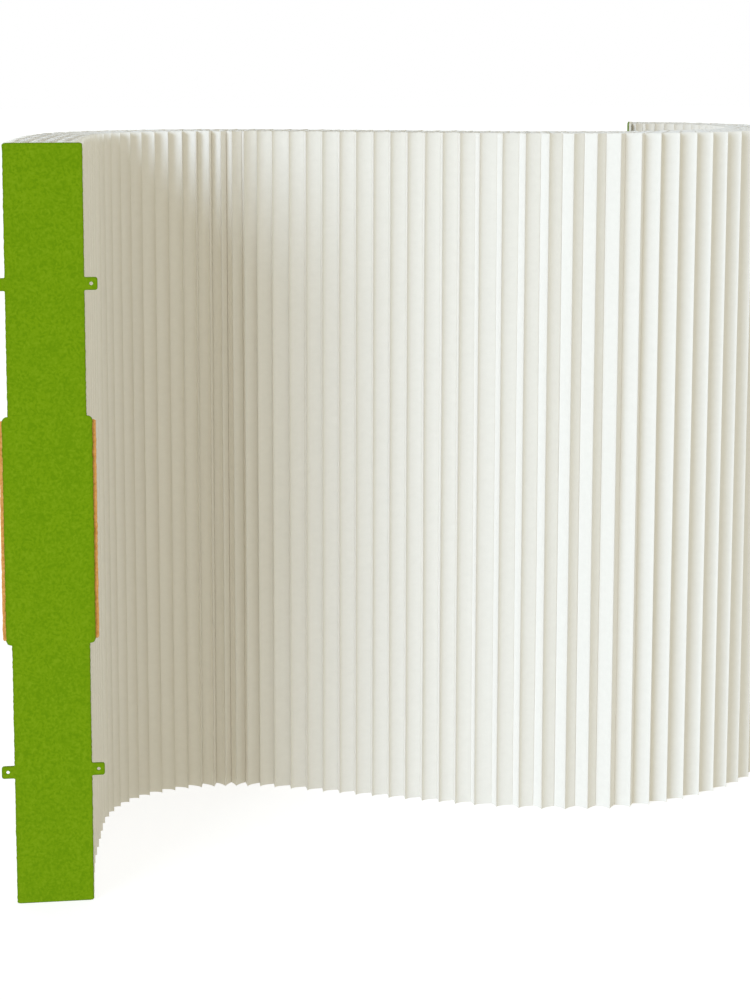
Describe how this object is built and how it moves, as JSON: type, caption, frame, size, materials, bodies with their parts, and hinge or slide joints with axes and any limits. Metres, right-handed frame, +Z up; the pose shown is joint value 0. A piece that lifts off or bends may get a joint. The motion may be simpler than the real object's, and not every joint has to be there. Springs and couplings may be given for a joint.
{
  "type": "pleated paper screen",
  "caption": "Free-standing folding wall of pleated white paper that stretches and curves, with green felt end panels and tie tabs.",
  "frame": {"origin": "on the floor, in the middle of the near end board", "axes": "+Y from the near end panel into the wall, +X to the right of it, +Z up"},
  "size_m": [1.7892, 1.076, 1.5],
  "materials": {
    "paper": "matte, slightly translucent",
    "green_felt": "matte felt",
    "grip_felt": "matte felt",
    "board": "matte board"
  },
  "bodies": {
    "near_end": {"end_board_near": "board", "felt_face_near": "green_felt", "grip_strip_near": "grip_felt"},
    "fold_01": {"paper_pleats_01": "paper"},
    "fold_02": {"paper_pleats_02": "paper"},
    "fold_03": {"paper_pleats_03": "paper"},
    "fold_04": {"paper_pleats_04": "paper"},
    "fold_05": {"paper_pleats_05": "paper"},
    "fold_06": {"paper_pleats_06": "paper"},
    "fold_07": {"paper_pleats_07": "paper"},
    "fold_08": {"paper_pleats_08": "paper"},
    "fold_09": {"paper_pleats_09": "paper"},
    "fold_10": {"paper_pleats_10": "paper"},
    "fold_11": {"paper_pleats_11": "paper"},
    "fold_12": {"paper_pleats_12": "paper"},
    "fold_13": {"paper_pleats_13": "paper"},
    "fold_14": {"paper_pleats_14": "paper"},
    "fold_15": {"paper_pleats_15": "paper"},
    "fold_16": {"paper_pleats_16": "paper"},
    "fold_17": {"paper_pleats_17": "paper"},
    "fold_18": {"paper_pleats_18": "paper"},
    "fold_19": {"paper_pleats_19": "paper"},
    "fold_20": {"paper_pleats_20": "paper"},
    "fold_21": {"paper_pleats_21": "paper"},
    "fold_22": {"paper_pleats_22": "paper"},
    "far_end": {"paper_pleats_23": "paper", "end_board_far": "board", "felt_face_far": "green_felt", "grip_strip_far": "grip_felt"},
    "tabs_near_left": {"tabs_left_near": "green_felt"},
    "tabs_near_right": {"tabs_right_near": "green_felt"},
    "tabs_far_left": {"tabs_left_far": "green_felt"},
    "tabs_far_right": {"tabs_right_far": "green_felt"}
  },
  "joints": [
    {"name": "near_stretch", "type": "hinge", "parent": "near_end", "child": "fold_01", "pos_m": [3.43775, 0.003, 0], "axis": [0, 0, -1], "range_deg": [-1.7, 0.24], "deforming": ["paper_pleats_01"]},
    {"name": "near_stretch_2", "type": "hinge", "parent": "fold_01", "child": "fold_02", "pos_m": [3.43775, 0.003, 0], "axis": [0, 0, -1], "range_deg": [-1.7, 0.24], "deforming": ["paper_pleats_02"]},
    {"name": "near_bend", "type": "hinge", "parent": "fold_02", "child": "fold_03", "pos_m": [0.0136, 0.30257, 0], "axis": [0, 0, 1], "range_deg": [-20, 20], "deforming": ["paper_pleats_03"]},
    {"name": "corner_stretch", "type": "hinge", "parent": "fold_03", "child": "fold_04", "pos_m": [0.25359, 0.33767, 0], "axis": [0, 0, -1], "range_deg": [-25.07, 3.54], "deforming": ["paper_pleats_04"]},
    {"name": "corner_stretch_2", "type": "hinge", "parent": "fold_04", "child": "fold_05", "pos_m": [0.25359, 0.33767, 0], "axis": [0, 0, -1], "range_deg": [-25.08, 3.54], "deforming": ["paper_pleats_05"]},
    {"name": "corner_stretch_3", "type": "hinge", "parent": "fold_05", "child": "fold_06", "pos_m": [0.34206, 0.14796, 0], "axis": [0, 0, -1], "range_deg": [-12.47, 1.76], "deforming": ["paper_pleats_06"]},
    {"name": "corner_stretch_4", "type": "hinge", "parent": "fold_06", "child": "fold_07", "pos_m": [0.34206, 0.14796, 0], "axis": [0, 0, -1], "range_deg": [-12.47, 1.76], "deforming": ["paper_pleats_07"]},
    {"name": "corner_bend", "type": "hinge", "parent": "fold_07", "child": "fold_08", "pos_m": [0.43138, 0.58056, 0], "axis": [0, 0, 1], "range_deg": [-20, 20], "deforming": ["paper_pleats_08"]},
    {"name": "front_stretch", "type": "slide", "parent": "fold_08", "child": "fold_09", "axis": [0.9455, -0.3256, 0], "range_m": [-0.0969, 0.01368], "deforming": ["paper_pleats_09"]},
    {"name": "front_stretch_2", "type": "slide", "parent": "fold_09", "child": "fold_10", "axis": [0.9455, -0.3256, 0], "range_m": [-0.09692, 0.0137], "deforming": ["paper_pleats_10"]},
    {"name": "front_stretch_3", "type": "slide", "parent": "fold_10", "child": "fold_11", "axis": [0.9455, -0.3256, 0], "range_m": [-0.09692, 0.0137], "deforming": ["paper_pleats_11"]},
    {"name": "front_stretch_4", "type": "slide", "parent": "fold_11", "child": "fold_12", "axis": [0.9455, -0.3256, 0], "range_m": [-0.09692, 0.0137], "deforming": ["paper_pleats_12"]},
    {"name": "front_stretch_5", "type": "hinge", "parent": "fold_12", "child": "fold_13", "pos_m": [1.2079, 1.26192, 0], "axis": [0, 0, 1], "range_deg": [-7.23, 1.02], "deforming": ["paper_pleats_13"]},
    {"name": "front_stretch_6", "type": "hinge", "parent": "fold_13", "child": "fold_14", "pos_m": [1.2079, 1.26192, 0], "axis": [0, 0, 1], "range_deg": [-7.23, 1.02], "deforming": ["paper_pleats_14"]},
    {"name": "front_stretch_7", "type": "hinge", "parent": "fold_14", "child": "fold_15", "pos_m": [1.19485, 0.88805, 0], "axis": [0, 0, 1], "range_deg": [-10.77, 1.52], "deforming": ["paper_pleats_15"]},
    {"name": "front_stretch_8", "type": "hinge", "parent": "fold_15", "child": "fold_16", "pos_m": [1.19485, 0.88805, 0], "axis": [0, 0, 1], "range_deg": [-10.77, 1.52], "deforming": ["paper_pleats_16"]},
    {"name": "front_bend", "type": "hinge", "parent": "fold_16", "child": "fold_17", "pos_m": [1.44853, 0.44269, 0], "axis": [0, 0, 1], "range_deg": [-20, 20], "deforming": ["paper_pleats_17"]},
    {"name": "curl_stretch", "type": "hinge", "parent": "fold_17", "child": "fold_18", "pos_m": [1.33218, 0.69903, 0], "axis": [0, 0, 1], "range_deg": [-18.13, 2.56], "deforming": ["paper_pleats_18"]},
    {"name": "curl_stretch_2", "type": "hinge", "parent": "fold_18", "child": "fold_19", "pos_m": [1.33218, 0.69903, 0], "axis": [0, 0, 1], "range_deg": [-18.14, 2.56], "deforming": ["paper_pleats_19"]},
    {"name": "curl_stretch_3", "type": "hinge", "parent": "fold_19", "child": "fold_20", "pos_m": [1.33218, 0.69903, 0], "axis": [0, 0, 1], "range_deg": [-18.14, 2.56], "deforming": ["paper_pleats_20"]},
    {"name": "curl_stretch_4", "type": "hinge", "parent": "fold_20", "child": "fold_21", "pos_m": [1.33218, 0.69903, 0], "axis": [0, 0, 1], "range_deg": [-18.14, 2.56], "deforming": ["paper_pleats_21"]},
    {"name": "curl_stretch_5", "type": "hinge", "parent": "fold_21", "child": "fold_22", "pos_m": [1.33218, 0.69903, 0], "axis": [0, 0, 1], "range_deg": [-18.14, 2.56], "deforming": ["paper_pleats_22"]},
    {"name": "curl_stretch_6", "type": "hinge", "parent": "fold_22", "child": "far_end", "pos_m": [1.33218, 0.69903, 0], "axis": [0, 0, 1], "range_deg": [-18.14, 2.56], "deforming": ["paper_pleats_23"]},
    {"name": "tabs_near_left_flex", "type": "hinge", "parent": "near_end", "child": "tabs_near_left", "pos_m": [-0.0773, -0.005, 0.75], "axis": [0, 0, -1], "range_deg": [-90, 90], "stiffness_Nm_per_rad": 0.02},
    {"name": "tabs_near_right_flex", "type": "hinge", "parent": "near_end", "child": "tabs_near_right", "pos_m": [0.0773, -0.005, 0.75], "axis": [0, 0, 1], "range_deg": [-90, 90], "stiffness_Nm_per_rad": 0.02},
    {"name": "tabs_far_left_flex", "type": "hinge", "parent": "far_end", "child": "tabs_far_left", "pos_m": [1.42354, 1.04666, 0.75], "axis": [0, 0, -1], "range_deg": [-90, 90], "stiffness_Nm_per_rad": 0.02},
    {"name": "tabs_far_right_flex", "type": "hinge", "parent": "far_end", "child": "tabs_far_right", "pos_m": [1.38092, 0.89805, 0.75], "axis": [0, 0, 1], "range_deg": [-90, 90], "stiffness_Nm_per_rad": 0.02}
  ],
  "couplings": [
    {"joint": "near_stretch_2", "follows": "near_stretch", "ratio": 1},
    {"joint": "corner_stretch_2", "follows": "corner_stretch", "ratio": 1},
    {"joint": "corner_stretch_3", "follows": "corner_stretch", "ratio": 0.49718},
    {"joint": "corner_stretch_4", "follows": "corner_stretch", "ratio": 0.49718},
    {"joint": "front_stretch_2", "follows": "front_stretch", "ratio": 1},
    {"joint": "front_stretch_3", "follows": "front_stretch", "ratio": 1},
    {"joint": "front_stretch_4", "follows": "front_stretch", "ratio": 1},
    {"joint": "front_stretch_5", "follows": "front_stretch", "rad_per_m": 1.3013},
    {"joint": "front_stretch_6", "follows": "front_stretch", "rad_per_m": 1.3013},
    {"joint": "front_stretch_7", "follows": "front_stretch", "rad_per_m": 1.9393},
    {"joint": "front_stretch_8", "follows": "front_stretch", "rad_per_m": 1.9393},
    {"joint": "curl_stretch_2", "follows": "curl_stretch", "ratio": 1},
    {"joint": "curl_stretch_3", "follows": "curl_stretch", "ratio": 1},
    {"joint": "curl_stretch_4", "follows": "curl_stretch", "ratio": 1},
    {"joint": "curl_stretch_5", "follows": "curl_stretch", "ratio": 1},
    {"joint": "curl_stretch_6", "follows": "curl_stretch", "ratio": 1}
  ]
}
